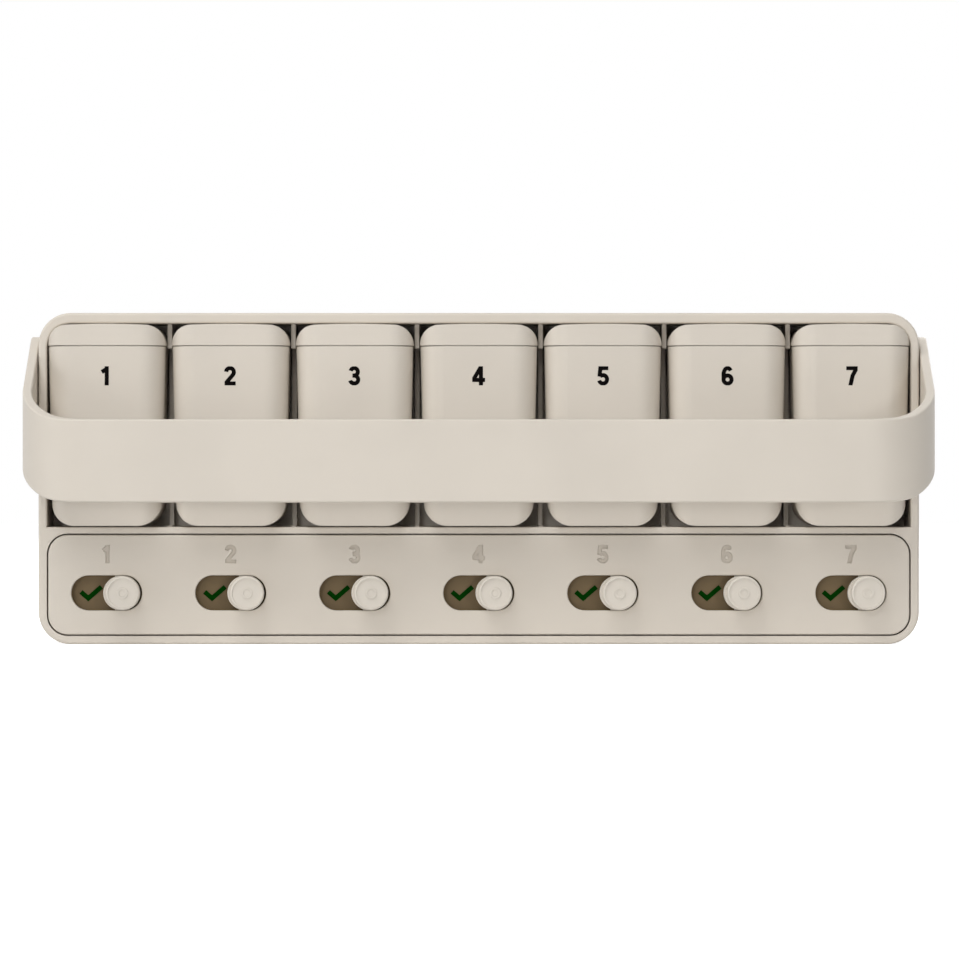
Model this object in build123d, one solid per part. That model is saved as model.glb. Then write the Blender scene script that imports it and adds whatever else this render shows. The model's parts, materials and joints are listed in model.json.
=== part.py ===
from build123d import *
from math import asin, atan2, cos, hypot, radians, sin, sqrt, tan
import os

# Weekly pill organizer: an upright tray with seven removable pill cups, each with a sliding lid,
# seven sliding day trackers in a front panel, and a swinging carrying handle.
# X runs to the right, Y to the back and Z up. The origin is the middle of the tray's underside.
# All sizes are in millimetres.

# Tray
DAYS = 7
TRAY_WIDTH = 241.0
TRAY_DEPTH = 26.0
TRAY_CORNER = 8.8
TRAY_EDGE = 0.7
WALL = 2.3
ROOF = 2.9
RIM_ROUND = 0.6
DIVIDER = 1.25
DIVIDER_SETBACK = 6.5
CROSSBAR = 1.8

# Tracker panel, its slots and the plate behind them
PANEL_HEIGHT = 27.3
PANEL_THICKNESS = 2.0
PANEL_CORNER = 5.4
PANEL_GAP = 0.35
PANEL_EDGE = 0.4
SLOT_LENGTH = 19.4
SLOT_HEIGHT = 9.6
SLOT_LEVEL = 11.4
SLOT_EDGE = 0.25
TRACK_SPACE = 2.6
TRACK_THICKNESS = 1.2
TRACK_HEIGHT = 16.0
TRACK_END_MARGIN = 2.0
STANDOFF_RADIUS = 2.2
STAKE_RADIUS = 1.0
STAKE_FIT = 0.05
STAKE_PROUD = 0.8

# Green check marks on the plate
CHECK_SHORT = 3.2
CHECK_LONG = 5.3
CHECK_STROKE = 1.25
CHECK_ANGLE = 41.0
CHECK_THICKNESS = 0.25
CHECK_INSET = 6.0

# Screws that hold the panel from the back
POST_RADIUS = 3.2
POST_LEVEL = 23.1
BOSS_RADIUS = 4.8
BOSS_LENGTH = 6.0
BOSS_FLOOR = 2.0
SCREW_HEAD_RADIUS = 2.6
SCREW_HEAD_HEIGHT = 1.8
SCREW_SHANK_RADIUS = 1.3
SCREW_BITE = 8.0
SCREW_DRIVE_RADIUS = 1.1
SCREW_DRIVE_DEPTH = 0.9
SCREW_CLEARANCE = 0.3

# Slider knobs
KNOB_PROUD = 3.0
KNOB_EDGE = 0.5
KNOB_RIM = 0.7
KNOB_DISH_DEPTH = 0.25
KNOB_BUTTON_RADIUS = 1.55
KNOB_DIMPLE_RADIUS = 0.95
KNOB_DIMPLE_DEPTH = 0.15
SHOE_LENGTH = 10.1
SHOE_PROUD = 0.4
SHOE_EDGE = 0.25
SLOT_FIT = 0.15
REST_GAP = 0.5
STEM_LENGTH = 5.0
STEM_HEIGHT = 4.0
CLIP_HEIGHT = 13.0
CLIP_EAR = 4.0
CLIP_THICKNESS = 1.2
CLIP_FIT = 0.2

# Pill cups
CUP_HEIGHT = 49.1
CUP_PROUD = 4.0
CUP_BACK_GAP = 0.4
CUP_BASE_GAP = 0.3
CUP_INSET = 0.2
CORNER_EASE = 0.05
CUP_DRAFT = 1.25
CUP_CORNER = 6.5
CUP_FRONT_ROUND = 6.5
CUP_BACK_ROUND = 1.8
CUP_FLOOR = 2.4
NECK_WALL = 1.1
CAVITY_ROUND = 4.0
CAVITY_DRAFT = 0.6
CAVITY_FOOT = 2.5

# Sliding lids
LID_HEIGHT = 5.9
LID_SIDE_GAP = 0.2
LID_WALL = 1.1
LID_TOP = 1.4
LID_CORNER = 5.5
LID_CROWN = 0.5
LID_BACK_ROUND = 0.8
LID_SEAM = 0.2
LID_ROOF_GAP = 0.2
LIP_HEIGHT = 1.0
LIP_GRIP = 0.8
FLANGE_THICKNESS = 1.0
LID_FIT = 0.25

# Carrying handle
BAND_HEIGHT = 22.2
BAND_THICKNESS = 2.5
BAND_REACH = 38.5
BAND_DROP = 25.45
BAND_BOW = 1.9
BOW_LENGTH = 33.15
BOW_EASE = 0.7
ARM_END_RADIUS = 8.9
ARM_BEND = 15.0
HANDLE_CORNER = 20.5
HANDLE_EDGE = 0.5
PIVOT_DEPTH = 12.5
PIVOT_DROP = 15.2
PIVOT_RADIUS = 3.0
PIVOT_FIT = 0.05
SPACER_RADIUS = 8.0
SPACER_HEIGHT = 0.15
SPACER_FIT = 0.15
STOP_LENGTH = 5.0
STOP_HEIGHT = 3.5
STOP_REACH = 2.0
STOP_FIT = 0.1
STOP_DEPTH = 8.0

# Depths and levels that follow from the sizes above
rim = -TRAY_DEPTH / 2
back = TRAY_DEPTH / 2
back_inside = back - WALL
inner_width = TRAY_WIDTH - 2 * WALL
inner_corner = TRAY_CORNER - WALL
cell_width = (inner_width - (DAYS - 1) * DIVIDER) / DAYS
pitch = cell_width + DIVIDER
days = range(1, DAYS + 1)

panel_bottom = WALL + PANEL_GAP
panel_top = panel_bottom + PANEL_HEIGHT
panel_back = rim + PANEL_THICKNESS
panel_width = inner_width - 2 * PANEL_GAP
crossbar_bottom = panel_top + PANEL_GAP
crossbar_top = crossbar_bottom + CROSSBAR
slot_z = panel_bottom + SLOT_LEVEL
track_front = panel_back + TRACK_SPACE
track_back = track_front + TRACK_THICKNESS
post_z = panel_bottom + POST_LEVEL
boss_front = back - BOSS_LENGTH

cup_bottom = crossbar_top + CUP_BASE_GAP
cup_top = cup_bottom + CUP_HEIGHT
cup_front = rim - CUP_PROUD
cup_back = back_inside - CUP_BACK_GAP
lid_width = cell_width - 2 * LID_SIDE_GAP
cup_width = lid_width - 2 * CUP_INSET
lid_bottom = cup_top + LID_SEAM
lid_top = lid_bottom + LID_HEIGHT
bay_top = lid_top + LID_ROOF_GAP
tray_height = bay_top + ROOF
lip_top = lid_bottom + LIP_HEIGHT
flange_bottom = lip_top + LID_FIT
flange_top = flange_bottom + FLANGE_THICKNESS
lid_corner_level = lid_top - LID_CROWN - LID_CORNER
flange_rise = flange_top - lid_corner_level
flange_reach = sqrt((LID_CORNER - LID_WALL) ** 2 - flange_rise**2)
flange_half = lid_width / 2 - LID_CORNER + flange_reach - LID_FIT
neck_half = flange_half - LIP_GRIP
lip_half = neck_half + LID_FIT
neck_front = cup_front + LID_WALL + LID_FIT

shoe_height = SLOT_HEIGHT - 2 * SLOT_FIT
shoe_x = SLOT_LENGTH / 2 - REST_GAP - SHOE_LENGTH / 2
knob_radius = shoe_height / 2
knob_x = SLOT_LENGTH / 2 - REST_GAP - knob_radius
clip_front = panel_back + CLIP_FIT
clip_back = clip_front + CLIP_THICKNESS

pivot_y = rim + PIVOT_DEPTH
pivot_z = tray_height - PIVOT_DROP
band_z = pivot_z - BAND_DROP
band_bottom = band_z - BAND_HEIGHT / 2
band_top = band_z + BAND_HEIGHT / 2
band_front = rim - BAND_REACH
band_back = band_front + BAND_BOW + BAND_THICKNESS
arm_reach = pivot_y - band_back
low_rise = pivot_z - band_bottom
high_rise = pivot_z - band_top
low_slope = atan2(low_rise, arm_reach) - asin(ARM_END_RADIUS / hypot(low_rise, arm_reach))
high_slope = atan2(high_rise, arm_reach) + asin(ARM_END_RADIUS / hypot(high_rise, arm_reach))
arm_inside = TRAY_WIDTH / 2 + SPACER_HEIGHT + SPACER_FIT
arm_outside = arm_inside + BAND_THICKNESS
bow_start = arm_outside - BOW_LENGTH
bow_turn = atan2(BAND_BOW, BOW_LENGTH)
bow_radius = BOW_EASE * (BOW_LENGTH - HANDLE_CORNER) / tan(bow_turn / 2)


def day_x(day):
    """The middle of a day's bay, counted from the left."""
    return (day - (DAYS + 1) / 2) * pitch


def front_prism(outline, front, rear):
    """An outline drawn as seen from the front, made solid between two depths."""
    face = Plane(origin=(0, rear, 0), x_dir=(1, 0, 0), z_dir=(0, -1, 0))
    return extrude(face * outline, amount=rear - front)


def plan_prism(outline, bottom, top):
    """An outline drawn as seen from above, made solid between two heights."""
    return extrude(Plane.XY.offset(bottom) * outline, amount=top - bottom)


def side_prism(outline, left, right):
    """An outline drawn as seen from the right side, made solid between two places across."""
    return extrude(Plane.YZ.offset(left) * outline, amount=right - left)


def rounded_plan(width, front, rear, front_radius, rear_radius):
    """A rectangle seen from above, with its own radius on the front and on the rear corners."""
    outline = Pos(0, (front + rear) / 2) * Rectangle(width, rear - front)
    outline = fillet(outline.vertices().sort_by(Axis.Y)[:2], front_radius)
    return fillet(outline.vertices().sort_by(Axis.Y)[-2:], rear_radius)


def round_rod(radius, x, z, front, rear):
    """A round rod along the depth."""
    return front_prism(Pos(x, z) * Circle(radius), front, rear)


def screw_places():
    """Where the panel's screws are across the tray: between the sliders."""
    return [side * (steps - 0.5) * pitch for side in (-1, 1) for steps in (1, 3)]


def stake_places():
    """Where the track plate is staked to the panel: between the sliders."""
    return [day_x(day) + pitch / 2 for day in days if day < DAYS]


def make_tray():
    """The moulded tray: outer walls, back, dividers, shelf and the bosses outside and inside."""
    outer = Pos(0, tray_height / 2) * RectangleRounded(TRAY_WIDTH, tray_height, TRAY_CORNER)
    body = front_prism(outer, rim, back)
    body = fillet(body.faces().sort_by(Axis.Y)[0].edges(), TRAY_EDGE)
    body = fillet(body.faces().sort_by(Axis.Y)[-1].edges(), TRAY_EDGE)

    bay_middle = (crossbar_top + bay_top) / 2
    bays = Pos(0, bay_middle) * Rectangle(inner_width, bay_top - crossbar_top)
    bays = fillet(bays.vertices().sort_by(Axis.Y)[-2:], inner_corner)
    panel_room = Pos(0, (WALL + crossbar_bottom) / 2) * RectangleRounded(
        inner_width, crossbar_bottom - WALL, PANEL_CORNER + PANEL_GAP
    )
    body -= front_prism(bays, rim - TRAY_EDGE, back_inside)
    front_face = body.faces().sort_by(Axis.Y)[0]
    body = fillet(front_face.inner_wires()[0].edges(), RIM_ROUND)
    body -= front_prism(panel_room, rim - TRAY_EDGE, back_inside)
    divider = Rectangle(DIVIDER, bay_top - crossbar_top + WALL)
    for day in days:
        if day < DAYS:
            place = Pos(day_x(day) + pitch / 2, bay_middle)
            body += front_prism(place * divider, rim + DIVIDER_SETBACK, back_inside + WALL / 2)

    for x in screw_places():
        body += round_rod(BOSS_RADIUS, x, post_z, boss_front, back_inside + WALL / 2)
        recess = SCREW_HEAD_RADIUS + SCREW_CLEARANCE
        body -= round_rod(recess, x, post_z, boss_front + BOSS_FLOOR, back + WALL)
        shank_hole = SCREW_SHANK_RADIUS + SCREW_CLEARANCE
        body -= round_rod(shank_hole, x, post_z, boss_front - WALL, back)

    spacer = Pos(pivot_y, pivot_z) * Circle(SPACER_RADIUS)
    pin_hole = Pos(pivot_y, pivot_z) * Circle(PIVOT_RADIUS)
    stop_y = pivot_y - STOP_DEPTH
    arm_under = band_bottom + (stop_y - band_back) * tan(low_slope)
    stop_top = arm_under - STOP_FIT / cos(low_slope)
    stop_rise = STOP_LENGTH / 2 * tan(low_slope)
    stop = make_face(
        Polyline(
            (stop_y - STOP_LENGTH / 2, stop_top - stop_rise),
            (stop_y + STOP_LENGTH / 2, stop_top + stop_rise),
            (stop_y + STOP_LENGTH / 2, stop_top - STOP_HEIGHT),
            (stop_y - STOP_LENGTH / 2, stop_top - STOP_HEIGHT),
            close=True,
        )
    )
    half = TRAY_WIDTH / 2
    for side in (-1, 1):
        inner = side * (half - WALL / 2)
        body += side_prism(spacer, *sorted((inner, side * (half + SPACER_HEIGHT))))
        body += side_prism(stop, *sorted((inner, side * (half + STOP_REACH))))
        body -= side_prism(pin_hole, *sorted((side * (half - 2 * WALL), side * arm_outside)))
    return body


def make_pivot_pin(side):
    """A plain pin pressed into the tray's side wall, flush with the outside of the handle's arm."""
    outline = Pos(pivot_y, pivot_z) * Circle(PIVOT_RADIUS)
    inner = side * (TRAY_WIDTH / 2 - WALL)
    return side_prism(outline, *sorted((inner, side * arm_outside)))


def make_handle():
    """The strip bent round the tray's front: a level band, slanted arms and round ends at the pivots."""
    path = FilletPolyline(
        (-arm_outside, back),
        (-arm_outside, band_front + BAND_BOW),
        (-bow_start, band_front),
        (bow_start, band_front),
        (arm_outside, band_front + BAND_BOW),
        (arm_outside, back),
        radius=[HANDLE_CORNER, bow_radius, bow_radius, HANDLE_CORNER],
    )
    inner_path = FilletPolyline(
        (-arm_inside, back),
        (-arm_inside, band_back),
        (-bow_start, band_front + BAND_THICKNESS),
        (bow_start, band_front + BAND_THICKNESS),
        (arm_inside, band_back),
        (arm_inside, back),
        radius=[
            HANDLE_CORNER - BAND_THICKNESS,
            bow_radius - BAND_THICKNESS,
            bow_radius - BAND_THICKNESS,
            HANDLE_CORNER - BAND_THICKNESS,
        ],
    )
    ends = [Line((side * arm_outside, back), (side * arm_inside, back)) for side in (-1, 1)]
    strip = plan_prism(make_face([path, inner_path, *ends]), 0, tray_height + BAND_HEIGHT)

    low_y = pivot_y + ARM_END_RADIUS * sin(low_slope)
    low_z = pivot_z - ARM_END_RADIUS * cos(low_slope)
    high_y = pivot_y - ARM_END_RADIUS * sin(high_slope)
    high_z = pivot_z + ARM_END_RADIUS * cos(high_slope)
    nose_y = band_front - BAND_THICKNESS
    arm = make_face(
        Polyline(
            (nose_y, band_bottom),
            (band_back, band_bottom),
            (low_y, low_z),
            (high_y, high_z),
            (band_back, band_top),
            (nose_y, band_top),
            close=True,
        )
    )
    arm = fillet(arm.vertices().sort_by(Axis.X)[2:4], ARM_BEND)
    profile = arm + Pos(pivot_y, pivot_z) * Circle(ARM_END_RADIUS)
    handle = strip & side_prism(profile, -arm_outside - WALL, arm_outside + WALL)
    handle = fillet(handle.edges(), HANDLE_EDGE)
    pin_hole = Pos(pivot_y, pivot_z) * Circle(PIVOT_RADIUS + PIVOT_FIT)
    return handle - side_prism(pin_hole, -arm_outside - WALL, arm_outside + WALL)


def make_panel():
    """The front panel with its slots, and behind it the screw posts and the track plate's stakes."""
    outline = RectangleRounded(panel_width, PANEL_HEIGHT, PANEL_CORNER)
    panel = front_prism(Pos(0, (panel_bottom + panel_top) / 2) * outline, rim, panel_back)
    panel = fillet(panel.faces().sort_by(Axis.Y)[0].edges(), PANEL_EDGE)
    slot = SlotOverall(SLOT_LENGTH, SLOT_HEIGHT)
    for day in days:
        panel -= front_prism(Pos(day_x(day), slot_z) * slot, rim - PANEL_THICKNESS, panel_back)
    front_face = panel.faces().sort_by(Axis.Y)[0]
    slot_edges = [edge for wire in front_face.inner_wires() for edge in wire.edges()]
    panel = fillet(slot_edges, SLOT_EDGE)

    seat = PANEL_THICKNESS / 2
    for x in screw_places():
        panel += round_rod(POST_RADIUS, x, post_z, panel_back - seat, boss_front)
        panel -= round_rod(SCREW_SHANK_RADIUS, x, post_z, boss_front - SCREW_BITE, boss_front)
    for x in stake_places():
        panel += round_rod(STANDOFF_RADIUS, x, slot_z, panel_back - seat, track_front)
        panel += round_rod(STAKE_RADIUS, x, slot_z, panel_back, track_back + STAKE_PROUD)
    return panel


def make_track_plate():
    """The plate behind the slots that carries the check marks."""
    width = panel_width - 2 * TRACK_END_MARGIN
    plate = front_prism(Pos(0, slot_z) * Rectangle(width, TRACK_HEIGHT), track_front, track_back)
    for x in stake_places():
        plate -= round_rod(STAKE_RADIUS + STAKE_FIT, x, slot_z, track_front, track_back)
    return plate


def make_check_marks():
    """One tick per day, printed on the plate where the slider uncovers it."""
    short = Vector(-cos(radians(CHECK_ANGLE)), sin(radians(CHECK_ANGLE))) * CHECK_SHORT
    long = Vector(cos(radians(CHECK_ANGLE)), sin(radians(CHECK_ANGLE))) * CHECK_LONG
    rise_short = Vector(sin(radians(CHECK_ANGLE)), cos(radians(CHECK_ANGLE))) * CHECK_STROKE
    rise_long = Vector(-sin(radians(CHECK_ANGLE)), cos(radians(CHECK_ANGLE))) * CHECK_STROKE
    notch = Vector(0, CHECK_STROKE / cos(radians(CHECK_ANGLE)))
    outline = make_face(
        Polyline(
            (0, 0),
            tuple(long),
            tuple(long + rise_long),
            tuple(notch),
            tuple(short + rise_short),
            tuple(short),
            close=True,
        )
    )
    foot_z = slot_z - (CHECK_LONG * sin(radians(CHECK_ANGLE)) + CHECK_STROKE) / 2
    marks = []
    for day in days:
        place = Pos(day_x(day) - SLOT_LENGTH / 2 + CHECK_INSET - CHECK_SHORT / 2, foot_z)
        marks.append(front_prism(place * outline, track_front - CHECK_THICKNESS, track_front))
    return marks


def make_panel_screws():
    """Pan head screws in the recesses of the tray's back."""
    seat = boss_front + BOSS_FLOOR
    screws = []
    for x in screw_places():
        screw = round_rod(SCREW_HEAD_RADIUS, x, post_z, seat, seat + SCREW_HEAD_HEIGHT)
        screw += round_rod(SCREW_SHANK_RADIUS, x, post_z, boss_front - SCREW_BITE, seat)
        drive = RegularPolygon(SCREW_DRIVE_RADIUS, 6)
        head_back = seat + SCREW_HEAD_HEIGHT
        screw -= front_prism(Pos(x, post_z) * drive, head_back - SCREW_DRIVE_DEPTH, head_back)
        screws.append(screw)
    return screws


def make_slider_knob(day):
    """A round knob on an oblong shoe that fills the slot, with a stem for the clip behind it."""
    shoe = SlotOverall(SHOE_LENGTH, shoe_height)
    shoe_place = Pos(day_x(day) + shoe_x, slot_z)
    base = front_prism(shoe_place * shoe, rim - SHOE_PROUD, clip_front)
    base = fillet(base.faces().sort_by(Axis.Y)[0].edges(), SHOE_EDGE)
    x = day_x(day) + knob_x
    top = rim - SHOE_PROUD - KNOB_PROUD
    knob = round_rod(knob_radius, x, slot_z, top, rim)
    knob = fillet(knob.faces().sort_by(Axis.Y)[0].edges(), KNOB_EDGE)
    dish = Circle(knob_radius - KNOB_RIM) - Circle(KNOB_BUTTON_RADIUS)
    knob -= front_prism(Pos(x, slot_z) * dish, top - KNOB_EDGE, top + KNOB_DISH_DEPTH)
    knob -= round_rod(KNOB_DIMPLE_RADIUS, x, slot_z, top - KNOB_EDGE, top + KNOB_DIMPLE_DEPTH)
    stem = front_prism(shoe_place * Rectangle(STEM_LENGTH, STEM_HEIGHT), rim, clip_back)
    return base + knob + stem


def make_slider_clip(day):
    """The clip pressed on a slider's stem behind the shoe, with ears taller than the slot."""
    place = Pos(day_x(day) + shoe_x, slot_z)
    plate = SlotOverall(SHOE_LENGTH - 2 * CLIP_FIT, shoe_height - 2 * CLIP_FIT)
    plate += Rectangle(CLIP_EAR, CLIP_HEIGHT)
    plate -= Rectangle(STEM_LENGTH, STEM_HEIGHT)
    return front_prism(place * plate, clip_front, clip_back)


def cup_profile():
    """A cup seen from the front: it narrows downwards to well rounded lower corners."""
    narrowing = CUP_HEIGHT * tan(radians(CUP_DRAFT))
    outline = make_face(
        Polyline(
            (-cup_width / 2, cup_top),
            (cup_width / 2, cup_top),
            (cup_width / 2 - narrowing, cup_bottom),
            (narrowing - cup_width / 2, cup_bottom),
            close=True,
        )
    )
    return fillet(outline.vertices().sort_by(Axis.Y)[:2], CUP_CORNER)


def make_cup():
    """A pill cup in the middle bay: drafted body, neck and flange, with an open cavity."""
    eased_width = cup_width + 2 * CORNER_EASE
    plan = rounded_plan(eased_width, cup_front, cup_back, CUP_FRONT_ROUND, CUP_BACK_ROUND)
    body = extrude(Plane.XY.offset(cup_top) * plan, amount=-CUP_HEIGHT, taper=CUP_DRAFT)
    body &= front_prism(cup_profile(), cup_front - WALL, cup_back + WALL)
    inner_round = CUP_FRONT_ROUND - LID_WALL - LID_FIT
    neck = rounded_plan(2 * neck_half, neck_front, cup_back - LID_FIT, inner_round, LID_BACK_ROUND)
    body += plan_prism(neck, cup_top - LIP_HEIGHT, flange_top)
    flange = rounded_plan(
        2 * flange_half, neck_front, cup_back - LID_FIT, inner_round, LID_BACK_ROUND
    )
    body += plan_prism(flange, flange_bottom, flange_top)
    mouth_front = neck_front + NECK_WALL
    mouth_back = cup_back - LID_FIT - NECK_WALL
    mouth = rounded_plan(
        2 * (neck_half - NECK_WALL), mouth_front, mouth_back, CAVITY_ROUND, CAVITY_ROUND
    )
    depth = flange_top - cup_bottom - CUP_FLOOR
    cavity = extrude(Plane.XY.offset(flange_top) * mouth, amount=-depth, taper=CAVITY_DRAFT)
    cavity = fillet(cavity.faces().sort_by(Axis.Z)[0].edges(), CAVITY_FOOT)
    return body - cavity


def lid_profile(width, top, radius):
    """A lid seen from the front: a slightly crowned top with well rounded corners."""
    low = top - LID_HEIGHT - LID_CORNER
    shoulder = top - LID_CROWN
    sides = Polyline((-width / 2, shoulder), (-width / 2, low), (width / 2, low), (width / 2, shoulder))
    crown = ThreePointArc((width / 2, shoulder), (0, top), (-width / 2, shoulder))
    outline = make_face([sides, crown])
    return fillet(outline.vertices().sort_by(Axis.Y)[-2:], radius)


def make_lid():
    """A sliding lid in the middle bay: open at the rear, with lips that grip the cup's flange."""
    eased_width = lid_width + 2 * CORNER_EASE
    plan = rounded_plan(eased_width, cup_front, cup_back, CUP_FRONT_ROUND, LID_BACK_ROUND)
    lid = plan_prism(plan, lid_bottom, lid_top + LID_CROWN)
    lid &= front_prism(lid_profile(lid_width, lid_top, LID_CORNER), cup_front - WALL, cup_back + WALL)
    room_width = lid_width - 2 * LID_WALL
    room_front = cup_front + LID_WALL
    room_back = cup_back + WALL
    room_round = CUP_FRONT_ROUND - LID_WALL
    eased_room = room_width + 2 * CORNER_EASE
    room_plan = rounded_plan(eased_room, room_front, room_back, room_round, LID_BACK_ROUND)
    room = plan_prism(room_plan, lip_top, lid_top)
    inside = lid_profile(room_width, lid_top - LID_TOP, LID_CORNER - LID_WALL)
    room &= front_prism(inside, cup_front, room_back)
    gate = rounded_plan(2 * lip_half, room_front, room_back, room_round, LID_BACK_ROUND)
    return lid - room - plan_prism(gate, lid_bottom - LIP_HEIGHT, lip_top)


def write(name, *pieces):
    """Write one node; a node of several loose pieces keeps them as separate solids."""
    solids = [solid for piece in pieces for solid in piece.solids()]
    shape = solids[0] if len(solids) == 1 else Compound(children=solids)
    export_step(shape, f"parts/{name}.step")


def main():
    os.makedirs("parts", exist_ok=True)
    write("tray", make_tray())
    write("handle", make_handle())
    write("pivot_pin_left", make_pivot_pin(-1))
    write("pivot_pin_right", make_pivot_pin(1))
    write("tracker_panel", make_panel())
    write("track_plate", make_track_plate())
    write("check_marks", *make_check_marks())
    write("panel_screws", *make_panel_screws())
    cup = make_cup()
    lid = make_lid()
    for day in days:
        place = Pos(day_x(day), 0, 0)
        write(f"cup_{day}", place * cup)
        write(f"lid_{day}", place * lid)
        write(f"slider_knob_{day}", make_slider_knob(day))
        write(f"slider_clip_{day}", make_slider_clip(day))


main()
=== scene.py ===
import json
import math

import bmesh
import bpy
from mathutils import Matrix, Vector


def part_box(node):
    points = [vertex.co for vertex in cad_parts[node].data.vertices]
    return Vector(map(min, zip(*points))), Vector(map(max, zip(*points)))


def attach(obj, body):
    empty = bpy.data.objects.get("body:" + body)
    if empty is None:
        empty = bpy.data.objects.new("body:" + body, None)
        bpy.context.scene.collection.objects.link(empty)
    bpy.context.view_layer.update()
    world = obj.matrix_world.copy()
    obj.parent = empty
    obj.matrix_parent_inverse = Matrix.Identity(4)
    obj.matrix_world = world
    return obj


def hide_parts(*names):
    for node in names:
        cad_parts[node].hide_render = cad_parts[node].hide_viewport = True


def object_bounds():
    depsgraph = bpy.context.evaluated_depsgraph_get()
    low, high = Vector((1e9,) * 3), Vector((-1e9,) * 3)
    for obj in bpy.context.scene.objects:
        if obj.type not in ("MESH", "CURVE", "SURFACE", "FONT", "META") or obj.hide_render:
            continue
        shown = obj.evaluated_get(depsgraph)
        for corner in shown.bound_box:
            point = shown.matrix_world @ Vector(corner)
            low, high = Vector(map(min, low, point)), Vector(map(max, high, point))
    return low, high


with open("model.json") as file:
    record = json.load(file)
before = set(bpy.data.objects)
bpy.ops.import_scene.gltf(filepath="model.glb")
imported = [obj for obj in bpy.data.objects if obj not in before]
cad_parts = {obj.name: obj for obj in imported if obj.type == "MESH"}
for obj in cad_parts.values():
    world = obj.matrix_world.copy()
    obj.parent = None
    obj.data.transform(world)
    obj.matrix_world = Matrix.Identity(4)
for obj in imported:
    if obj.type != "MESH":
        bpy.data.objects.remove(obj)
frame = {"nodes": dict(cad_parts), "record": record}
cad_low, cad_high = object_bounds()
nodes = frame["nodes"]

# Weekly pill organizer, seen straight from the front. All lengths are in metres.
MM = 0.001
DAYS = range(1, 8)

# Camera: far away and level, in front of the middle of the tray
CAMERA_DISTANCE = 1.5
CAMERA_HEIGHT = 45.1 * MM
CAMERA_SIDE = 0.2 * MM
VIEW_WIDTH = 262.4 * MM
SENSOR_WIDTH = 36.0

# Numbers printed on the cups and sunk into the panel
PRINT_HEIGHT = 5.2 * MM
PRINT_LEVEL = 73.4 * MM
PRINT_PROUD = 0.04 * MM
PRINT_SUNK = 0.3 * MM
SUNK_HEIGHT = 4.9 * MM
SUNK_LEVEL = 24.7 * MM
SUNK_DEPTH = 0.8 * MM

# A number's stroke width, as a share of its height, and the degrees between two points of its arcs
STROKE = 0.215
ARC_STEP = 8

# Dividers between the cups: scooped back behind the rim, below a nib under the roof
SCOOP_DEPTH = 16.0 * MM
SCOOP_WIDTH = 3.0 * MM
NIB_HEIGHT = 6.5 * MM

# Shading: faces that look this straight along an axis are flat, and edges sharper than this show
FLAT_FACING = 0.9995
SHARP_ANGLE = math.radians(30)

# Corners closer than this are one, and rays start this far in front of the part
WELD_GAP = 0.001 * MM
RAY_LEAD = 100 * MM

# Unevenness of the surfaces: the size of its lumps and its detail
PLASTIC_CLOUDS = (30 * MM, 2.0)
PLASTIC_GRAIN = (0.35 * MM, 3.0)
INK_FILM = (0.6 * MM, 4.0)
STEEL_MARKS = (0.25 * MM, 2.0)

# Most of the unevenness lies between these two shares
UNEVEN_LOW = 0.35
UNEVEN_HIGH = 0.65

# Plastics: colour, roughness, depth of the grain and radius of the softened edges
PLASTICS = {
    "shell": ((0.66, 0.605, 0.53), 0.45, 0.02 * MM, 0.25 * MM),
    "cup": ((0.67, 0.615, 0.54), 0.42, 0.015 * MM, 0.3 * MM),
    "knob": ((0.71, 0.66, 0.585), 0.4, 0.01 * MM, 0.15 * MM),
    # The track's dark brown is painted shade: the slot floors seen through the panel are coloured
    # darker to look shadowed, though they are the same beige plastic.
    "track": ((0.195, 0.135, 0.065), 0.55, 0.02 * MM, 0.2 * MM),
}
CLOUD_CONTRAST = 0.02
GRAIN_STRENGTH = 0.25
ROUGHNESS_SPREAD = 0.06
PLASTIC_SHINE = 0.3
EDGE_SAMPLES = 4

# Inks: their darker spots keep a share of the colour, and they hardly shine
CHECK_COLOUR = (0.0, 0.05, 0.0)
NUMBER_COLOUR = (0.003, 0.002, 0.002)
INK_DARK_SHARE = 0.8
INK_ROUGHNESS = (0.6, 0.8)
INK_SHINE = 0.03

# Steel of the screws: its darker turning marks keep a share of the colour
STEEL_COLOUR = (0.6, 0.6, 0.6)
STEEL_DARK_SHARE = 0.85
STEEL_ROUGHNESS = (0.22, 0.4)

# Stage: the floor, how white it looks by itself, and the light that comes from everywhere
FLOOR_SIZE = 8.0
FLOOR_DROP = 0.02 * MM
FLOOR_GREY = 0.8
FLOOR_ROUGHNESS = 0.9
FLOOR_LIFT = 0.88
ROOM_LIGHT = 0.17

# Square lamps: place, side and power in watts
SOFTBOXES = {
    "top_softbox": ((-0.65, -0.65, 2.15), 1.2, 24),
    "high_softbox": ((-0.5, -1.9, 1.3), 1.2, 14),
    "left_softbox": ((-0.4, -2.15, 0.1), 0.3, 6),
    "right_softbox": ((0.95, -2.0, 0.1), 0.3, 6.5),
    "side_softbox": ((-2.0, -0.75, 0.35), 0.8, 6.5),
    "back_softbox": ((0.9, 2.0, 1.1), 1.2, 22),
}


def arc(middle, radii, start, end):
    """Points along an arc: its radii across and up, its angles in degrees."""
    steps = max(2, round(abs(end - start) / ARC_STEP))
    angles = [math.radians(start + (end - start) * step / steps) for step in range(steps + 1)]
    return [(middle[0] + radii[0] * math.cos(a), middle[1] + radii[1] * math.sin(a)) for a in angles]


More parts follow.
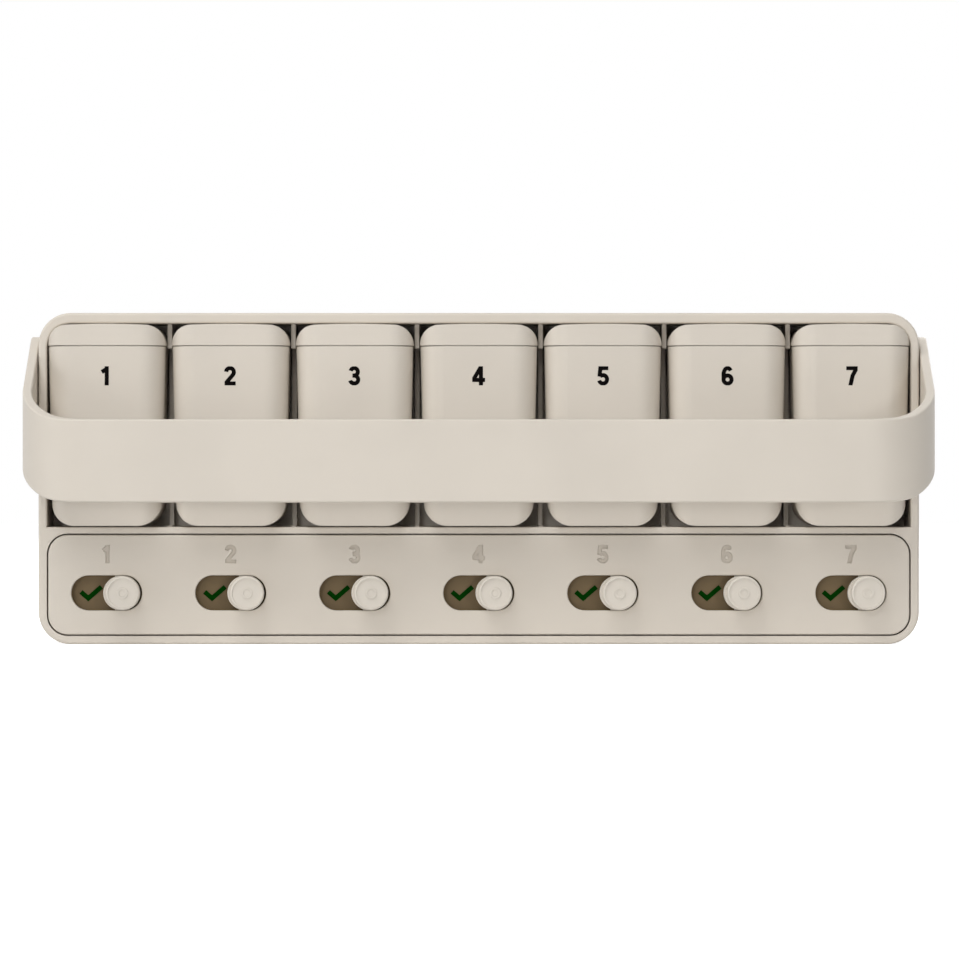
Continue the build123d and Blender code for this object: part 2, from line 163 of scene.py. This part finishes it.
# The middle lines of each number's strokes, for a number one unit high
NUMBER_STROKES = {
    1: [[(0.06, -0.1), (0.06, 1.1)], [(0.06, 0.86), (-0.2, 0.7)]],
    2: [
        arc((0.0, 0.695), (0.205, 0.21), 175, -38) + [(-0.22, 0.11)],
        [(-0.285, 0.095), (0.3, 0.095)],
    ],
    3: [
        arc((-0.01, 0.71), (0.19, 0.195), 165, -90),
        arc((-0.01, 0.302), (0.21, 0.207), 90, -168),
        [(-0.1, 0.512), (0.02, 0.512)],
    ],
    4: [
        [(0.102, 0.952), (-0.263, 0.332)],
        [(-0.345, 0.285), (0.33, 0.285)],
        [(0.115, -0.1), (0.115, 1.1)],
    ],
    5: [
        [(-0.235, 0.905), (0.27, 0.905)],
        [(-0.14, 0.991), (-0.19, 0.461)],
        arc((-0.005, 0.315), (0.21, 0.22), 140, -165),
    ],
    6: [
        arc((0.0, 0.305), (0.21, 0.21), 0, 190),
        arc((0.0, 0.305), (0.21, 0.21), 180, 370),
        [(-0.21, 0.305)] + arc((0.0, 0.56), (0.21, 0.345), 180, 38),
    ],
    7: [
        [(-0.3, 0.905), (0.3, 0.905)],
        [(0.216, 0.854), (0.03, 0.5), (-0.1, -0.1)],
    ],
}


def shader_material(name):
    """A new material, its node tree and its main shader."""
    material = bpy.data.materials.new(name)
    material.use_nodes = True
    tree = material.node_tree
    return material, tree, tree.nodes["Principled BSDF"]


def add_noise(tree, size, detail):
    """Noise whose lumps are about the given size."""
    place = tree.nodes.new("ShaderNodeTexCoord")
    noise = tree.nodes.new("ShaderNodeTexNoise")
    noise.inputs["Scale"].default_value = 1 / size
    noise.inputs["Detail"].default_value = detail
    tree.links.new(place.outputs["Object"], noise.inputs["Vector"])
    return noise.outputs["Fac"]


def mix_colours(tree, share, low, high):
    """A colour between two, by a share around one half."""
    ramp = tree.nodes.new("ShaderNodeValToRGB")
    ramp.color_ramp.elements[0].position = UNEVEN_LOW
    ramp.color_ramp.elements[1].position = UNEVEN_HIGH
    ramp.color_ramp.elements[0].color = (*low, 1)
    ramp.color_ramp.elements[1].color = (*high, 1)
    tree.links.new(share, ramp.inputs["Fac"])
    return ramp.outputs["Color"]


def spread_value(tree, share, low, high):
    """A number between two, by a share from 0 to 1."""
    spread = tree.nodes.new("ShaderNodeMapRange")
    spread.inputs["To Min"].default_value = low
    spread.inputs["To Max"].default_value = high
    tree.links.new(share, spread.inputs["Value"])
    return spread.outputs["Result"]


def moulded_plastic(name, colour, roughness, grain_depth, edge_radius):
    """Satin plastic: faint flow clouds, fine grain, and edges softened as by a mould."""
    material, tree, shader = shader_material(name)
    clouds = add_noise(tree, *PLASTIC_CLOUDS)
    darker = [(1 - CLOUD_CONTRAST) * value for value in colour]
    lighter = [(1 + CLOUD_CONTRAST) * value for value in colour]
    tree.links.new(mix_colours(tree, clouds, darker, lighter), shader.inputs["Base Color"])
    grain = add_noise(tree, *PLASTIC_GRAIN)
    rough = spread_value(tree, grain, roughness - ROUGHNESS_SPREAD, roughness + ROUGHNESS_SPREAD)
    tree.links.new(rough, shader.inputs["Roughness"])
    soft_edge = tree.nodes.new("ShaderNodeBevel")
    soft_edge.samples = EDGE_SAMPLES
    soft_edge.inputs["Radius"].default_value = edge_radius
    bump = tree.nodes.new("ShaderNodeBump")
    bump.inputs["Strength"].default_value = GRAIN_STRENGTH
    bump.inputs["Distance"].default_value = grain_depth
    tree.links.new(grain, bump.inputs["Height"])
    tree.links.new(soft_edge.outputs["Normal"], bump.inputs["Normal"])
    tree.links.new(bump.outputs["Normal"], shader.inputs["Normal"])
    shader.inputs["Specular IOR Level"].default_value = PLASTIC_SHINE
    return material


def printed_ink(name, colour):
    """Dull print with a slightly uneven film."""
    material, tree, shader = shader_material(name)
    film = add_noise(tree, *INK_FILM)
    darker = [INK_DARK_SHARE * value for value in colour]
    tree.links.new(mix_colours(tree, film, darker, colour), shader.inputs["Base Color"])
    tree.links.new(spread_value(tree, film, *INK_ROUGHNESS), shader.inputs["Roughness"])
    shader.inputs["Specular IOR Level"].default_value = INK_SHINE
    return material


def plated_steel(name, colour):
    """Plated screw steel with fine turning marks."""
    material, tree, shader = shader_material(name)
    marks = add_noise(tree, *STEEL_MARKS)
    darker = [STEEL_DARK_SHARE * value for value in colour]
    tree.links.new(mix_colours(tree, marks, darker, colour), shader.inputs["Base Color"])
    tree.links.new(spread_value(tree, marks, *STEEL_ROUGHNESS), shader.inputs["Roughness"])
    shader.inputs["Metallic"].default_value = 1.0
    return material


def paint(piece, material):
    """Give a piece one material."""
    piece.data.materials.clear()
    piece.data.materials.append(material)


def shown_object(name, mesh):
    """A new object in the scene."""
    piece = bpy.data.objects.new(name, mesh)
    bpy.context.scene.collection.objects.link(piece)
    return piece


def modified_mesh(piece):
    """A new mesh as the piece's modifiers shape it."""
    bpy.context.view_layer.update()
    return bpy.data.meshes.new_from_object(piece.evaluated_get(bpy.context.evaluated_depsgraph_get()))


def combined_mesh(first, others, operation):
    """One closed mesh from several: joined, cut away or kept in common."""
    pieces = [shown_object("solid", mesh) for mesh in (first, *others)]
    for other in pieces[1:]:
        step = pieces[0].modifiers.new(operation, "BOOLEAN")
        step.operation = operation
        step.solver = "EXACT"
        step.object = other
    result = modified_mesh(pieces[0])
    for piece in pieces:
        bpy.data.objects.remove(piece)
    return result


def ribbon_sides(points, width):
    """The left and right sides of a stroke, with mitred bends and square ends."""
    line = [Vector(point) for point in points]
    runs = [(after - before).normalized() for before, after in zip(line, line[1:])]
    left, right = [], []
    for point, before, after in zip(line, [runs[0], *runs], [*runs, runs[-1]]):
        along = (before + after).normalized()
        side = Vector((-along.y, along.x)) * (width / 2 / along.dot(after))
        left.append(point + side)
        right.append(point - side)
    return left, right


def stroke_mesh(points, width, depth):
    """One stroke as a closed prism in the XZ plane, its face at Y 0 and its body behind it."""
    solid = bmesh.new()
    left, right = ribbon_sides(points, width)
    rings = []
    for one, other in zip(left, right):
        corners = ((one, 0), (other, 0), (other, depth), (one, depth))
        rings.append([solid.verts.new((corner.x, y, corner.y)) for corner, y in corners])
    for ring, after in zip(rings, rings[1:]):
        for side in range(len(ring)):
            beyond = (side + 1) % len(ring)
            solid.faces.new((ring[side], ring[beyond], after[beyond], after[side]))
    solid.faces.new(rings[0])
    solid.faces.new(rings[-1])
    bmesh.ops.recalc_face_normals(solid, faces=solid.faces)
    mesh = bpy.data.meshes.new("stroke")
    solid.to_mesh(mesh)
    solid.free()
    return mesh


def number_mesh(day, height, depth):
    """A bold number as a closed mesh in the XZ plane, its face at Y 0 and its middle at the origin."""
    strokes = [stroke_mesh(points, STROKE, 1.0) for points in NUMBER_STROKES[day]]
    mesh = combined_mesh(strokes[0], strokes[1:], "UNION")
    # The strokes end level with the number's foot and head
    foot_to_head = stroke_mesh([(-1.0, 0.5), (1.0, 0.5)], 1.0, 1.0)
    mesh = combined_mesh(mesh, [foot_to_head], "INTERSECT")
    mesh.transform(Matrix.Translation((0, 0, -0.5)))
    mesh.transform(Matrix.Diagonal((height, depth, height, 1)))
    return mesh


def surface_at(node, x, z):
    """The point and normal of a node's front at a place seen from the front."""
    start = Vector((x, cad_low.y - RAY_LEAD, z))
    found, point, normal, _ = nodes[node].ray_cast(start, Vector((0, 1, 0)))
    if not found:
        raise ValueError(f"{node} has no front at {x}, {z}")
    return point, normal


def middle_of(node):
    """The middle of a node's box."""
    low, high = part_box(node)
    return (low + high) / 2


def new_piece(name, mesh, body, material):
    """A new object that rides on a body."""
    mesh.name = name
    piece = shown_object(name, mesh)
    paint(piece, material)
    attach(piece, body)
    return piece


def print_cup_numbers(material):
    """A black number on the front of each cup."""
    for day in DAYS:
        cup_name = f"cup_{day}"
        point, normal = surface_at(cup_name, middle_of(cup_name).x, PRINT_LEVEL)
        mesh = number_mesh(day, PRINT_HEIGHT, PRINT_PROUD + PRINT_SUNK)
        lean = normal.to_track_quat("-Y", "Z").to_matrix().to_4x4()
        mesh.transform(Matrix.Translation(point + normal * PRINT_PROUD) @ lean)
        new_piece(f"cup_number_{day}", mesh, cup_name, material)


def welded_copy(node):
    """A node's shape as a new mesh whose faces share their corners."""
    solid = bmesh.new()
    solid.from_mesh(nodes[node].data)
    bmesh.ops.remove_doubles(solid, verts=solid.verts, dist=WELD_GAP)
    solid.verts.index_update()
    mesh = bpy.data.meshes.new(node)
    faces = [[corner.index for corner in face.verts] for face in solid.faces]
    mesh.from_pydata([corner.co for corner in solid.verts], [], faces)
    solid.free()
    return mesh


def smooth_curves(mesh):
    """Smooth shading on rounded faces, flat shading on straight ones."""
    mesh.shade_smooth()
    mesh.set_sharp_from_angle(angle=SHARP_ANGLE)
    for face in mesh.polygons:
        face.use_smooth = max(abs(share) for share in face.normal) < FLAT_FACING


def box_mesh(low, high):
    """A closed box between two corners."""
    solid = bmesh.new()
    bmesh.ops.create_cube(solid, size=1.0)
    mesh = bpy.data.meshes.new("box")
    solid.to_mesh(mesh)
    solid.free()
    mesh.transform(Matrix.Translation((low + high) / 2) @ Matrix.Diagonal((*(high - low), 1)))
    return mesh


def scoop_dividers(material):
    """The tray with the front edges of its dividers cut back between the shelf and their nibs."""
    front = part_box("tray")[0].y
    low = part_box("cup_1")[0].z
    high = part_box("lid_1")[1].z - NIB_HEIGHT
    cutters = []
    for day in DAYS[:-1]:
        x = (middle_of(f"cup_{day}").x + middle_of(f"cup_{day + 1}").x) / 2
        near = Vector((x - SCOOP_WIDTH / 2, front - SCOOP_DEPTH, low))
        far = Vector((x + SCOOP_WIDTH / 2, front + SCOOP_DEPTH, high))
        cutters.append(box_mesh(near, far))
    scooped = combined_mesh(welded_copy("tray"), cutters, "DIFFERENCE")
    smooth_curves(scooped)
    tray = new_piece("scooped_tray", scooped, "tray", material)
    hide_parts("tray")


def engrave_panel(material):
    """The front panel with a number sunk into it above each slot."""
    cutters = []
    for day in DAYS:
        point, _ = surface_at("tracker_panel", middle_of(f"cup_{day}").x, SUNK_LEVEL)
        mesh = number_mesh(day, SUNK_HEIGHT, 2 * SUNK_DEPTH)
        mesh.transform(Matrix.Translation(point - Vector((0, SUNK_DEPTH, 0))))
        cutters.append(mesh)
    engraved = combined_mesh(welded_copy("tracker_panel"), cutters, "DIFFERENCE")
    smooth_curves(engraved)
    panel = new_piece("numbered_panel", engraved, "tray", material)
    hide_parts("tracker_panel")


def make_camera():
    """A level camera straight in front of the tray."""
    camera = shown_object("camera", bpy.data.cameras.new("camera"))
    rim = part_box("tray")[0].y
    camera.location = (CAMERA_SIDE, rim - CAMERA_DISTANCE, CAMERA_HEIGHT)
    camera.rotation_euler = (math.radians(90), 0, 0)
    camera.data.sensor_width = SENSOR_WIDTH
    camera.data.lens = SENSOR_WIDTH * CAMERA_DISTANCE / VIEW_WIDTH
    bpy.context.scene.camera = camera


def seen_share(tree):
    """1 for rays that show the background: straight from the camera, mirrored or through glass."""
    path = tree.nodes.new("ShaderNodeLightPath")
    total = path.outputs["Is Camera Ray"]
    for kind in ("Is Glossy Ray", "Is Transmission Ray"):
        either = tree.nodes.new("ShaderNodeMath")
        either.operation = "MAXIMUM"
        tree.links.new(total, either.inputs[0])
        tree.links.new(path.outputs[kind], either.inputs[1])
        total = either.outputs["Value"]
    return total


def make_world():
    """An even white room that looks white behind the object."""
    world = bpy.data.worlds.new("room")
    world.use_nodes = True
    bpy.context.scene.world = world
    tree = world.node_tree
    lit = tree.nodes["Background"]
    lit.inputs["Strength"].default_value = ROOM_LIGHT
    shown = tree.nodes.new("ShaderNodeBackground")
    mix = tree.nodes.new("ShaderNodeMixShader")
    for background in (lit, shown):
        background.inputs["Color"].default_value = (1, 1, 1, 1)
    tree.links.new(seen_share(tree), mix.inputs["Fac"])
    tree.links.new(lit.outputs["Background"], mix.inputs[1])
    tree.links.new(shown.outputs["Background"], mix.inputs[2])
    tree.links.new(mix.outputs["Shader"], tree.nodes["World Output"].inputs["Surface"])


def make_floor():
    """A pale floor that keeps the shadow and looks white elsewhere."""
    mesh = bpy.data.meshes.new("floor")
    half = FLOOR_SIZE / 2
    corners = [(x * half, y * half, 0) for x, y in ((-1, -1), (1, -1), (1, 1), (-1, 1))]
    mesh.from_pydata(corners, [], [(0, 1, 2, 3)])
    floor = shown_object("floor", mesh)
    floor.location.z = cad_low.z - FLOOR_DROP
    material, tree, shader = shader_material("floor_paper")
    shader.inputs["Base Color"].default_value = (FLOOR_GREY, FLOOR_GREY, FLOOR_GREY, 1)
    shader.inputs["Roughness"].default_value = FLOOR_ROUGHNESS
    shader.inputs["Specular IOR Level"].default_value = 0.0
    shader.inputs["Emission Color"].default_value = (1, 1, 1, 1)
    strength = spread_value(tree, seen_share(tree), 0.0, FLOOR_LIFT)
    tree.links.new(strength, shader.inputs["Emission Strength"])
    mesh.materials.append(material)


def add_softbox(name, place, target, side, power):
    """A square soft lamp that looks at a target."""
    lamp = bpy.data.lights.new(name, "AREA")
    lamp.size = side
    lamp.energy = power
    box = shown_object(name, lamp)
    box.location = place
    box.rotation_euler = (target - Vector(place)).to_track_quat("-Z", "Y").to_euler()


make_camera()

slot_materials = {}
for slot, look in PLASTICS.items():
    slot_materials[slot] = moulded_plastic(f"{slot}_plastic", *look)
slot_materials["check_print"] = printed_ink("check_ink", CHECK_COLOUR)
slot_materials["screw_steel"] = plated_steel("screw_steel", STEEL_COLOUR)
for subpart in frame["record"]["subparts"]:
    paint(nodes[subpart["node"]], slot_materials[subpart["material_slot"]])

print_cup_numbers(printed_ink("number_ink", NUMBER_COLOUR))
engrave_panel(slot_materials["shell"])
scoop_dividers(slot_materials["shell"])

make_world()
make_floor()
middle = (cad_low + cad_high) / 2
for name, (place, side, power) in SOFTBOXES.items():
    add_softbox(name, place, middle, side, power)

bpy.context.scene.view_settings.view_transform = "Standard"
